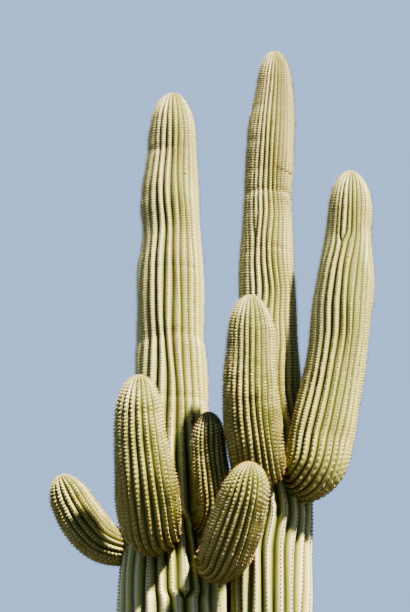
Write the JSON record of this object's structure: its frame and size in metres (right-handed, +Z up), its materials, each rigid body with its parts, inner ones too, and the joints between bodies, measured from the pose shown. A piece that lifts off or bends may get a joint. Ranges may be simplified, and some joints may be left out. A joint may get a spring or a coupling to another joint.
{
  "type": "saguaro cactus",
  "caption": "Tall ribbed desert cactus with a main trunk, a second tall stem beside it and upturned arms all round.",
  "frame": {"origin": "centre of the flat cut under the trunk, at ground level", "axes": "+Z up along the trunk, -Y towards the front with the arms that the picture shows, +X towards the second tall stem"},
  "size_m": [1.7858, 1.4164, 5.662],
  "materials": {
    "trunk_skin": "waxy ribbed skin, pale olive green",
    "arm_skin": "waxy ribbed skin, olive green",
    "spines": "dry straw coloured and grey spines with felted bases"
  },
  "bodies": {
    "root": {"trunk": "trunk_skin", "right_stem": "trunk_skin", "right_arm": "arm_skin", "centre_arm": "arm_skin", "low_front_arm": "arm_skin", "inner_arm": "arm_skin", "left_front_arm": "arm_skin", "left_arm": "arm_skin", "back_arm": "arm_skin", "right_back_arm": "arm_skin"}
  },
  "joints": []
}
